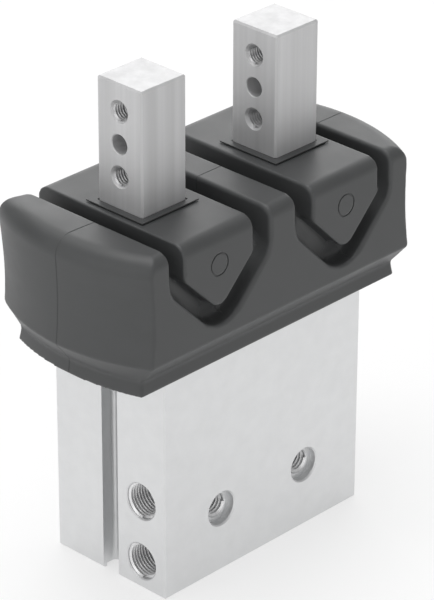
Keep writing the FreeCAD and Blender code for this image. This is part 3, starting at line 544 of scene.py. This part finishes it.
@dataclass
class SealingCap:
    """The rubber cap: a moulded shell, an island on each jaw, and a fold between them."""

    finish: MouldedRubber = field(default_factory=lambda: MouldedRubber("cap_rubber"))
    node: str = "sealing_cap"
    slot: str = "cap_rubber"
    # the outer form
    top: float = 99.0
    skirt_wall: float = 2.3
    skirt_draft: float = 0.5
    skirt_reach: float = 13.4
    skirt_sweep: float = 64.0
    skirt_top: float = 65.7
    lip_flare: float = 4.2
    lip_level: float = 71.3
    brow_draft: float = 0.7
    front_round: float = 3.4
    end_inset: float = 33.0
    end_sweep: float = 50.2
    end_draft: float = 0.7
    end_round: float = 4.8
    end_hollow: float = 120.0
    # how the soft wall stands out at its back left corner
    lean: Spot = (-1.9, 0.6, 1.0)
    lean_from: Spot = (-38.0, -8.0, 68.0)
    lean_full: Spot = (-46.0, 22.0, 98.0)
    # the island on each jaw and the fold round it
    island_half: float = 11.8
    island_foot: float = 79.8
    island_shift: float = 0.8
    foot_round: float = 3.4
    shoulder_round: float = 1.8
    fold_width: float = 5.2
    fold_shift: float = 0.65
    fold_front: float = 5.5
    fold_top: float = 8.5
    fold_ease: float = 2.5
    fold_wall: float = 1.5
    # the hollow inside
    wall: float = 2.2
    floor: float = 3.0
    fit: float = 0.1
    # the collar round each post
    post_half: float = 7.5
    collar_gap: float = 0.15
    collar_wall: float = 1.1
    collar_lip: float = 1.9
    collar_neck: float = 0.2
    collar_thick: float = 0.36
    collar_bevel: float = 0.08
    sleeve_wall: float = 1.6
    sleeve_drop: float = 8.0
    # how finely the outlines are divided
    end_steps: int = 72
    wall_steps: int = 12
    crown_steps: int = 24
    round_steps: int = 8
    # the softness of the moulding
    voxel: float = 0.43
    smoothing: float = 0.5
    edge_passes: int = 3
    rim_passes: int = 6
    rim_reach: float = 1.2
    channel_passes: int = 23
    channel_depth: float = 2.2
    channel_margin: float = 1.0
    hold: tuple[float, float] = (0.04, 0.12)
    # where the folds part from shell and island, and how they stretch
    part_inner: float = 0.4
    part_outer: float = 4.55
    stretch_inner: float = 0.1
    stretch_outer: float = 5.0
    # marks of the mould
    seam_half: float = 0.16
    seam_deep: float = 0.32
    seam_near: float = 1e-4
    seam_merge: float = 1e-5
    mark_radius: float = 3.0
    mark_line: float = 0.35
    mark_deep: float = 0.18
    mark_reach: float = 1.0
    mark_steps: int = 72
    mark_level: float = 90.6

    def __post_init__(self) -> None:
        """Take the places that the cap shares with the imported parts."""
        block = high_corner("housing")
        jaw = (low_corner("jaw_right") + high_corner("jaw_right")) / 2
        self.bottom = low_corner(self.node).z
        self.block_x = block.x
        self.block_y = block.y
        self.skirt_half = block.y + self.skirt_wall
        self.lip_half = self.skirt_half + self.lip_flare
        self.brow_half = self.lip_half - self.brow_draft
        self.end_centre = block.x - self.end_inset
        self.skirt_centre = block.x + self.skirt_reach - self.skirt_sweep
        self.brow_end = self.end_sweep - self.end_draft
        self.reach = 2 * self.end_sweep
        self.jaw_centre = jaw.x
        self.foot_half = self.foot_round * HALF_CORNER

    def plan(self, centre: float, sweep: float, half: float) -> list[Point]:
        """The cap's outline at one level: two straight sides joined by swept ends.

        Args:
            centre: Where the right-hand end is swept about, along X.
            sweep: The radius of the ends.
            half: Half the depth from front to back.

        Returns:
            The points of the outline.
        """
        corner = math.degrees(math.asin(half / sweep))
        right = arc((centre, 0), sweep, -corner, corner, self.end_steps)
        return right + [(-x, -y) for x, y in right]

    def end_at(self, level: float) -> float:
        """The radius of the ends at a level above the lip."""
        spring = self.top - self.end_round
        if level > spring:
            drop = math.sqrt(max(self.end_round**2 - (level - spring) ** 2, 0.0))
            return self.brow_end - self.end_round + drop
        share = (level - self.lip_level) / (spring - self.lip_level)
        hollow = share * (1 - share) * (spring - self.lip_level) ** 2 / 2 / self.end_hollow
        return self.end_sweep - self.end_draft * share - hollow

    def front_at(self, level: float) -> float:
        """Half the depth from front to back at a level above the lip."""
        spring = self.top - self.front_round
        if level > spring:
            drop = math.sqrt(max(self.front_round**2 - (level - spring) ** 2, 0.0))
            return self.brow_half - self.front_round + drop
        share = (level - self.lip_level) / (spring - self.lip_level)
        return self.lip_half - self.brow_draft * share

    def form(self, name: str, inset: float, bottom: float, draft: float) -> Blank:
        """The outer form, set in all round.

        Args:
            name: What it is.
            inset: How far its surface is set in.
            bottom: The level of its underside.
            draft: How far the skirt draws in towards its top.

        Returns:
            The form.
        """
        spring = self.top - self.end_round
        rise = (spring - self.lip_level) / self.wall_steps
        turn = math.pi / 2 / self.crown_steps
        wall = [self.lip_level + rise * n for n in range(self.wall_steps + 1)]
        crown = [spring + self.end_round * math.sin(turn * n) for n in range(1, self.crown_steps + 1)]
        sections = []
        for drawn, level in ((inset, bottom), (inset + draft, self.skirt_top)):
            sweep, half = self.skirt_sweep - drawn, self.skirt_half - drawn
            sections.append((self.plan(self.skirt_centre, sweep, half), level))
        for level in wall + crown:
            sunk = self.top - inset if level == crown[-1] else level
            if level < self.top - inset or level == crown[-1]:
                sweep, half = self.end_at(level) - inset, self.front_at(level) - inset
                sections.append((self.plan(self.end_centre, sweep, half), sunk))
        return Blank(name, loft(sections))

    def core(self, extra: float) -> Blank:
        """What the folds leave standing: the section of their floor, drawn out along X.

        Args:
            extra: How far it is set in below the floor.

        Returns:
            The solid.
        """
        half = self.lip_half - self.fold_front - extra
        top = self.top - self.fold_top - extra
        ease = self.fold_ease
        rounding = arc((half - ease, top - ease), ease, 0, 90, self.round_steps)
        front = [(half, self.bottom - self.floor), *rounding]
        back = [(-y, z) for y, z in reversed(front)]
        return Blank("core", prism(front + back, Axis.X, -self.reach, self.reach))

    def middle(self, grow: float) -> float:
        """Where the right-hand island's outline has its middle, when it is grown outwards."""
        return self.jaw_centre - self.island_shift - self.fold_shift * grow / self.fold_width

    def island_outline(self, grow: float) -> list[Point]:
        """The rounded outline of the right-hand island.

        Args:
            grow: How far it is grown outwards.

        Returns:
            The points of the outline in X and Z.
        """
        foot_centre = self.island_foot + self.foot_round
        step = self.island_half - self.shoulder_round
        level = foot_centre + step - (self.foot_round - self.shoulder_round) / DIAGONAL
        steps = self.round_steps
        foot = arc((0, foot_centre), self.foot_round + grow, -135, -45, 2 * steps)
        shoulder = arc((step, level), self.shoulder_round + grow, -45, 0, steps)
        high = self.top + self.wall
        right = [*shoulder, (self.island_half + grow, high)]
        left = [(-x, z) for x, z in reversed(right)]
        return [(self.middle(grow) + x, z) for x, z in left + foot + right]

    def corner_outline(self, grow: float) -> list[Point]:
        """The same outline with plain corners, from its left top corner round to its right."""
        half = self.island_half + grow
        corner = HALF_CORNER * grow
        foot = (self.foot_half + corner, self.island_foot - grow)
        shoulder = (half, self.island_foot + self.island_half - self.foot_half - corner)
        right = [foot, shoulder, (half, self.top + self.wall)]
        points = [(-x, z) for x, z in reversed(right)] + right
        return [(self.middle(grow) + x, z) for x, z in points]

    def through(self, outline: list[Point], name: str, side: Side = Side.RIGHT) -> Blank:
        """An outline of the right-hand side as a solid right through the cap, or its mirror image."""
        placed = [(side.value * x, z) for x, z in outline]
        return Blank(name, prism(placed, Axis.Y, -self.reach, self.reach))

    def fold(self, name: str, extra: float) -> list[Blank]:
        """The bands round both islands.

        Args:
            name: What they are for.
            extra: How far they reach beyond the fold on all sides.

        Returns:
            The band of each side.
        """
        bands = []
        for side in Side:
            outline = self.island_outline(self.fold_width + extra)
            band = self.through(outline, f"{name}_{side.jaw}", side)
            island = self.through(self.island_outline(-extra), "island", side)
            bands.append(band.combined(Boolean.TAKE_AWAY, island, self.core(extra)))
        return bands

    def off_wall(self, spot: Vector) -> float:
        """How far a point lies outside the nearer fold's outer wall."""
        half = self.island_half + self.fold_width
        foot = self.island_foot - self.fold_width
        foot_half = self.foot_half + HALF_CORNER * self.fold_width
        across = abs(abs(spot.x) - self.middle(self.fold_width))
        flank = (across - foot_half - (spot.z - foot)) * DIAGONAL
        return max(across - half, flank, foot - spot.z)

    def softened(self, sharp: Blank, skin: BVHTree) -> Blank:
        """Give the sharp form the soft edges of a moulding, and keep its plain faces true.

        Args:
            sharp: The sharp form.
            skin: The outer form without the folds.

        Returns:
            The soft form.
        """
        exact = sharp.mesh()
        bmesh.ops.triangulate(exact, faces=exact.faces[:])
        faces = BVHTree.FromBMesh(exact)
        exact.free()
        sharp.worked("REMESH", mode="VOXEL", voxel_size=self.voxel, use_smooth_shade=True)
        mesh = sharp.mesh()
        axes = {"use_axis_x": True, "use_axis_y": True, "use_axis_z": True}
        for _ in range(self.edge_passes):
            bmesh.ops.smooth_vert(mesh, verts=mesh.verts[:], factor=self.smoothing, **axes)
        rim, channel = [], []
        for vert in mesh.verts:
            off_wall = self.off_wall(vert.co)
            if -self.fold_width - self.channel_margin < off_wall < self.rim_reach:
                depth = skin.find_nearest(vert.co)[3]
                if depth > self.channel_depth:
                    channel.append(vert)
                elif depth < self.rim_reach and off_wall > -self.rim_reach:
                    rim.append(vert)
        for verts, passes in ((rim, self.rim_passes), (channel, self.channel_passes)):
            for _ in range(passes):
                bmesh.ops.smooth_vert(mesh, verts=verts, factor=self.smoothing, **axes)
        low, high = self.hold
        for vert in mesh.verts:
            spot, _, _, away = faces.find_nearest(vert.co)
            vert.co = spot.lerp(vert.co, eased((away - low) / (high - low)))
        for face in mesh.faces:
            face.smooth = True
        return sharp.take(mesh)

    def hollow(self) -> list[Blank]:
        """The solids that the inside of the cap is cleared by."""
        inner = self.form("hollow", self.wall, self.bottom + self.floor, 0.0)
        inner.combined(Boolean.TAKE_AWAY, *self.fold("membrane", self.fold_wall))
        outline = rectangle(self.block_x + self.fit, self.block_y + self.fit)
        low, high = self.bottom - self.floor, self.bottom + self.floor + self.fit
        return [inner, Blank("mouth", prism(outline, Axis.Z, low, high))]

    def marks(self) -> list[Blank]:
        """Fine rings on the faces of the islands."""
        rise = self.top - self.front_round - self.lip_level
        lean = math.atan(self.brow_draft / rise)
        face = self.lip_half - self.brow_draft * (self.mark_level - self.lip_level) / rise
        marks = []
        for side in Side:
            for front in (-1, 1):
                spot = Vector((side.value * self.middle(0.0), front * face, self.mark_level))
                place = Matrix.Translation(spot) @ Matrix.Rotation(math.pi / 2 + front * lean, 4, "X")
                discs = []
                inner = self.mark_radius - self.mark_line
                for radius, deep in ((self.mark_radius, self.mark_deep), (inner, self.mark_reach)):
                    mesh = bmesh.new()
                    bmesh.ops.create_cone(
                        mesh,
                        cap_ends=True,
                        segments=self.mark_steps,
                        radius1=radius,
                        radius2=radius,
                        depth=2 * deep,
                        matrix=place,
                    )
                    discs.append(Blank("mark", mesh))
                marks.append(discs[0].combined(Boolean.TAKE_AWAY, discs[1]))
        return marks

    def seamed(self, blank: Blank) -> Blank:
        """Draw the fine line that the two halves of the mould leave along the middle plane."""
        mesh = blank.mesh()
        for level in (-self.seam_half, self.seam_half, 0.0):
            bmesh.ops.bisect_plane(
                mesh,
                geom=mesh.verts[:] + mesh.edges[:] + mesh.faces[:],
                dist=self.seam_merge,
                plane_co=(0, level, 0),
                plane_no=(0, 1, 0),
            )
        mesh.normal_update()
        for vert in mesh.verts:
            outside = vert.co.z > self.bottom + self.fit and all(face.smooth for face in vert.link_faces)
            if abs(vert.co.y) < self.seam_near and outside:
                vert.co -= vert.normal * self.seam_deep
        return blank.take(mesh)

    def leaned(self, blank: Blank) -> Blank:
        """Let the soft wall stand out at its back left corner."""
        mesh = blank.mesh()
        for vert in mesh.verts:
            share = 1.0
            for here, start, full in zip(vert.co, self.lean_from, self.lean_full):
                share *= eased((here - start) / (full - start))
            vert.co += Vector(self.lean) * share
        return blank.take(mesh)

    def whole(self) -> Blank:
        """The cap in one piece, without its collars."""
        form = self.form("cap", 0.0, self.bottom, self.skirt_draft)
        outer = form.mesh()
        skin = BVHTree.FromBMesh(outer)
        outer.free()
        form.combined(Boolean.TAKE_AWAY, *self.fold("fold", 0.0))
        self.softened(form, skin)
        half = self.post_half + self.collar_gap + self.sleeve_wall
        low, high = self.top - self.sleeve_drop, self.top + self.wall
        holes = []
        for side in Side:
            outline = rectangle(half, half, side.value * self.jaw_centre)
            holes.append(Blank("hole", prism(outline, Axis.Z, low, high)))
        form.combined(Boolean.TAKE_AWAY, *self.hollow(), *holes, *self.marks())
        return self.leaned(form)

    def dress(self, blank: Blank, name: str, material: bpy.types.Material) -> bpy.types.Object:
        """Finish one piece of the cap.

        Args:
            blank: Its solid.
            name: Its name.
            material: The rubber.

        Returns:
            The piece, which stands for the cap's solid.
        """
        piece = blank.finished(name, material)
        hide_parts(self.node)
        return piece

    def collar(self, side: Side) -> Blank:
        """The sleeve round one post with its thin square lip."""
        hole = self.post_half + self.collar_gap
        neck_top = self.top + self.collar_neck
        profile = [
            (hole, self.top - self.sleeve_drop),
            (hole + self.sleeve_wall, self.top - self.sleeve_drop),
            (hole + self.sleeve_wall, self.top),
            (hole + self.collar_wall, self.top),
            (hole + self.collar_wall, neck_top),
            (hole + self.collar_lip, neck_top),
            (hole + self.collar_lip, neck_top + self.collar_thick),
            (hole, neck_top + self.collar_thick),
        ]
        middle = (side.value * self.jaw_centre, 0, 0)
        return Blank("collar", square_tube(profile, middle, self.collar_bevel))

    def strips(self, whole: Blank, side: Side, material: bpy.types.Material) -> None:
        """Part the fold's floor into straight stretches between shell and island.

        Args:
            whole: The whole cap.
            side: Which jaw the fold goes round.
            material: The rubber.
        """
        inner = self.corner_outline(self.part_inner)
        outer = self.corner_outline(self.part_outer)
        names = ("inner_side", "inner_flank", "foot", "outer_flank", "outer_side")
        ways = ((-1, 0), (-DIAGONAL, -DIAGONAL), (0, -1), (DIAGONAL, -DIAGONAL), (1, 0))
        for number, (name, way) in enumerate(zip(names, ways)):
            outline = [outer[number], outer[number + 1], inner[number + 1], inner[number]]
            stretch = self.through(outline, "stretch", side)
            strip = whole.copy(name).combined(Boolean.KEEP_COMMON, stretch)
            piece = self.dress(strip, f"cap_fold_{side.name.lower()}_{name}", material)
            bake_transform(piece)

    def build(self) -> None:
        """Build every piece of the cap."""
        material = self.finish.material()
        whole = self.whole()
        for side in Side:
            word = side.name.lower()
            self.strips(whole, side, material)
            inside = self.through(self.corner_outline(self.part_inner), "inside", side)
            island = whole.copy("island").combined(Boolean.KEEP_COMMON, inside)
            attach(self.dress(island, f"cap_island_{word}", material), side.jaw)
            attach(self.dress(self.collar(side), f"cap_collar_{word}", material), side.jaw)
        outline = self.corner_outline(self.part_outer)
        outside = [self.through(outline, "outside", side) for side in Side]
        shell = self.seamed(whole.combined(Boolean.TAKE_AWAY, *outside))
        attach(self.dress(shell, "cap_shell", material), "housing")


@dataclass(frozen=True)
class ThreadForm:
    """The ridge of one inner thread."""

    major: float
    minor: float
    pitch: float
    length: float
    steps: int = 40
    root_share: float = 0.94
    crest_share: float = 0.14
    bury: float = 0.04

    def ridge(self) -> BMesh:
        """Wind the ridge about Z, upwards from nought."""
        mesh = bmesh.new()
        edge = (1 - self.root_share) / 2 * self.pitch
        crest = (1 - self.crest_share) / 2 * self.pitch
        outline = [
            (self.major + self.bury, edge),
            (self.minor, crest),
            (self.minor, self.pitch - crest),
            (self.major + self.bury, self.pitch - edge),
        ]
        verts = [mesh.verts.new((radius, 0, z)) for radius, z in outline]
        face = mesh.faces.new(verts)
        turns = round(self.length / self.pitch) - 1
        bmesh.ops.spin(
            mesh,
            geom=verts + list(face.edges) + [face],
            cent=(0, 0, 0),
            axis=(0, 0, 1),
            dvec=(0, 0, self.pitch / self.steps),
            angle=FULL_TURN * turns,
            steps=self.steps * turns,
            use_merge=False,
        )
        bmesh.ops.recalc_face_normals(mesh, faces=mesh.faces[:])
        for face in mesh.faces:
            face.smooth = False
        return mesh


@dataclass
class ThreadedHoles:
    """All threads of the gripper: air ports, fixing holes and finger holes."""

    port: ThreadForm = ThreadForm(4.86, 4.283, 0.907, 8.0)
    fixing: ThreadForm = ThreadForm(3.0, 2.46, 1.0, 6.0)
    finger: ThreadForm = ThreadForm(2.5, 2.07, 0.8, 14.4)
    port_y: float = -10.65
    port_levels: tuple[float, float] = (7.6, 24.8)
    fixing_level: float = 17.7
    front_spacing: float = 30.0
    back_spacing: float = 40.0
    base_spacing: float = 48.0
    seat: float = 2.1
    finger_levels: tuple[float, float] = (107.8, 124.8)
    port_lead: float = 0.35
    finishes: dict[str, bpy.types.Material] = field(default_factory=dict)

    def wind(
        self, name: str, form: ThreadForm, mouth: Spot, inwards: Spot, body: str, slot: str
    ) -> None:
        """Put one thread in its hole.

        Args:
            name: The piece's name.
            form: The thread.
            mouth: The middle of the hole's rim.
            inwards: The way into the hole.
            body: The body that it rides on.
            slot: The material slot of the part that it is cut in.
        """
        blank = Blank(name, form.ridge())
        turned = Vector((0, 0, 1)).rotation_difference(Vector(inwards)).to_matrix().to_4x4()
        blank.thing.data.transform(Matrix.Translation(mouth) @ turned)
        piece = blank.finished(name, self.finishes[slot])
        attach(piece, body)

    def build(self) -> None:
        """Cut every thread."""
        self.finishes = {
            "anodised_aluminium": CutThread("cut_aluminium").material(),
            "jaw_steel": CutThread("cut_steel", colour=(0.60, 0.60, 0.605)).material(),
        }
        block = high_corner("housing")
        aluminium = "anodised_aluminium"
        for word, level in zip(("low", "high"), self.port_levels):
            mouth = (self.port_lead - block.x, self.port_y, level)
            self.wind(f"port_thread_{word}", self.port, mouth, (1, 0, 0), "housing", aluminium)
        for side in Side:
            word = side.name.lower()
            half, seat_y = side.value / 2, block.y - self.seat
            places = {
                "front": ((half * self.front_spacing, -seat_y, self.fixing_level), (0, 1, 0)),
                "back": ((half * self.back_spacing, seat_y, self.fixing_level), (0, -1, 0)),
                "base": ((half * self.base_spacing, 0, self.seat), (0, 0, 1)),
            }
            for face, (mouth, inwards) in places.items():
                self.wind(f"{face}_thread_{word}", self.fixing, mouth, inwards, "housing", aluminium)
            middle = (low_corner(side.jaw).x + high_corner(side.jaw).x) / 2
            for height, level in zip(("low", "high"), self.finger_levels):
                mouth = (middle - self.finger.length / 2, 0, level)
                name = f"finger_thread_{word}_{height}"
                self.wind(name, self.finger, mouth, (1, 0, 0), side.jaw, "jaw_steel")


@dataclass
class WorkingParts:
    """The parts that are shown as packed, each with its own finish."""

    steel: GroundSteel = field(default_factory=lambda: GroundSteel("jaw_steel"))
    rail: GroundSteel = field(
        default_factory=lambda: GroundSteel(
            "rail_steel", line=(30.0, 0.25, 0.25), band=(200.0, 3.0, 3.0)
        )
    )

    def build(self) -> None:
        """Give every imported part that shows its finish."""
        block = AnodisedAluminium()
        inner = AnodisedAluminium(name="cover_aluminium", colour=(0.62, 0.625, 0.63))
        screw = PlainFinish("dark_fastener", (0.09, 0.09, 0.095), 0.7, (0.35, 0.5))
        spring = PlainFinish("spring_steel", (0.42, 0.42, 0.43), 1.0, (0.3, 0.42))
        bronze = PlainFinish("bronze", (0.62, 0.42, 0.22), 1.0, (0.3, 0.42))
        seal = PlainFinish("seal_rubber", (0.03, 0.03, 0.03), 0.0, (0.45, 0.6))
        plastic = PlainFinish("guide_plastic", (0.70, 0.66, 0.55), 0.0, (0.4, 0.5))
        magnet = PlainFinish("magnet", (0.16, 0.16, 0.17), 0.8, (0.4, 0.55))
        worn_by = {
            block: ("housing",),
            inner: ("base_cover", "piston"),
            self.steel: ("jaw_left", "jaw_right"),
            self.rail: (
                "guide_rail_front",
                "guide_rail_back",
                "rail_dowels",
                "wedge_hook",
                "piston_rod",
            ),
            screw: ("rail_screws", "piston_nut"),
            spring: ("retaining_ring",),
            bronze: ("rod_gland",),
            seal: ("base_cover_seal", "gland_seal", "rod_seal", "piston_seal"),
            plastic: ("piston_guide_ring",),
            magnet: ("sensor_magnet",),
        }
        for finish, nodes in worn_by.items():
            material = finish.material()
            for node in nodes:
                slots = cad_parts[node].data.materials
                slots.clear()
                slots.append(material)
                LOG.info("%s: %s", node, finish.name)


@dataclass
class Studio:
    """The pale floor, the soft light and the camera."""

    azimuth: float = -46.047
    elevation: float = 27.744
    roll: float = 0.165
    distance: float = 871.9
    target: Spot = (9.2, 6.2, 57.8)
    lens: float = 207.87
    film: float = 36.0
    floor_half: float = 6.0
    floor_colour: Spot = (0.93, 0.93, 0.93)
    backdrop_share: float = 0.6
    sky: float = 0.45
    clip_end: float = 100.0
    lamp_aim: Spot = (0.0, 0.0, 0.07)
    lamps: tuple[tuple[str, Spot, float, float], ...] = (
        ("top_lamp", (-0.1, 0.15, 1.5), 1.1, 12.0),
        ("left_lamp", (-1.3, 0.1, 0.55), 0.9, 2.6),
        ("back_lamp", (1.05, 1.0, 0.72), 1.4, 10.5),
        ("front_lamp", (-0.5, -1.2, 0.35), 1.0, 1.6),
    )

    def camera(self) -> None:
        """Stand the camera where the gripper is seen from its near corner."""
        turn, rise = math.radians(self.azimuth), math.radians(self.elevation)
        level_back = Vector((math.sin(turn), -math.cos(turn), 0)) * math.cos(rise)
        back = level_back + Vector((0, 0, math.sin(rise)))
        right = Vector((math.cos(turn), math.sin(turn), 0))
        level = Matrix((right, back.cross(right), back)).transposed()
        data = bpy.data.cameras.new("camera")
        data.lens = self.lens
        data.sensor_width = self.film
        data.clip_end = self.clip_end
        camera = bpy.data.objects.new("camera", data)
        camera.matrix_world = (
            Matrix.Translation((Vector(self.target) + back * self.distance) * MM)
            @ level.to_4x4()
            @ Matrix.Rotation(math.radians(self.roll), 4, "Z")
        )
        bpy.context.scene.collection.objects.link(camera)
        bpy.context.scene.camera = camera

    def lamp(self, name: str, place: Spot, size: float, power: float) -> None:
        """Hang a square soft lamp that faces the gripper.

        Args:
            name: The lamp's name.
            place: Where it hangs, in metres.
            size: The length of its side, in metres.
            power: Its power, in watts.
        """
        data = bpy.data.lights.new(name, "AREA")
        data.size = size
        data.energy = power
        lamp = bpy.data.objects.new(name, data)
        facing = (Vector(self.lamp_aim) - Vector(place)).to_track_quat("-Z", "Y")
        lamp.matrix_world = Matrix.Translation(place) @ facing.to_matrix().to_4x4()
        bpy.context.scene.collection.objects.link(lamp)

    def floor(self) -> None:
        """Lay the floor."""
        mesh = bmesh.new()
        bmesh.ops.create_grid(mesh, x_segments=1, y_segments=1, size=self.floor_half)
        data = bpy.data.meshes.new("floor")
        mesh.to_mesh(data)
        mesh.free()
        material = bpy.data.materials.new("floor")
        material.use_nodes = True
        tree = material.node_tree
        shader = tree.nodes["Principled BSDF"]
        shader.inputs["Base Color"].default_value = (*self.floor_colour, 1)
        shader.inputs["Roughness"].default_value = 1.0
        shader.inputs["Specular IOR Level"].default_value = 0.0
        seen = tree.nodes.new("ShaderNodeLightPath")
        either = tree.nodes.new("ShaderNodeMath")
        either.operation = "MAXIMUM"
        share = tree.nodes.new("ShaderNodeMath")
        share.operation = "MULTIPLY"
        share.inputs[1].default_value = self.backdrop_share
        white = tree.nodes.new("ShaderNodeEmission")
        mixed = tree.nodes.new("ShaderNodeMixShader")
        for source, target in (
            (seen.outputs["Is Camera Ray"], either.inputs[0]),
            (seen.outputs["Is Glossy Ray"], either.inputs[1]),
            (either.outputs[0], share.inputs[0]),
            (share.outputs[0], mixed.inputs[0]),
            (shader.outputs[0], mixed.inputs[1]),
            (white.outputs[0], mixed.inputs[2]),
            (mixed.outputs[0], tree.nodes["Material Output"].inputs[0]),
        ):
            tree.links.new(source, target)
        data.materials.append(material)
        floor = bpy.data.objects.new("floor", data)
        bpy.context.scene.collection.objects.link(floor)

    def build(self) -> None:
        """Set up floor, light, camera and colour."""
        world = bpy.data.worlds.new("studio")
        world.use_nodes = True
        sky = world.node_tree.nodes["Background"]
        sky.inputs["Color"].default_value = (1, 1, 1, 1)
        sky.inputs["Strength"].default_value = self.sky
        bpy.context.scene.world = world
        self.floor()
        for lamp in self.lamps:
            self.lamp(*lamp)
        self.camera()
        bpy.context.scene.view_settings.view_transform = "Standard"


def main() -> None:
    """Build the dressed gripper and its studio."""
    logging.basicConfig(level=logging.INFO, format="%(name)s %(message)s")
    Studio().build()
    WorkingParts().build()
    ThreadedHoles().build()
    SealingCap().build()


if __name__ == "__main__":
    main()
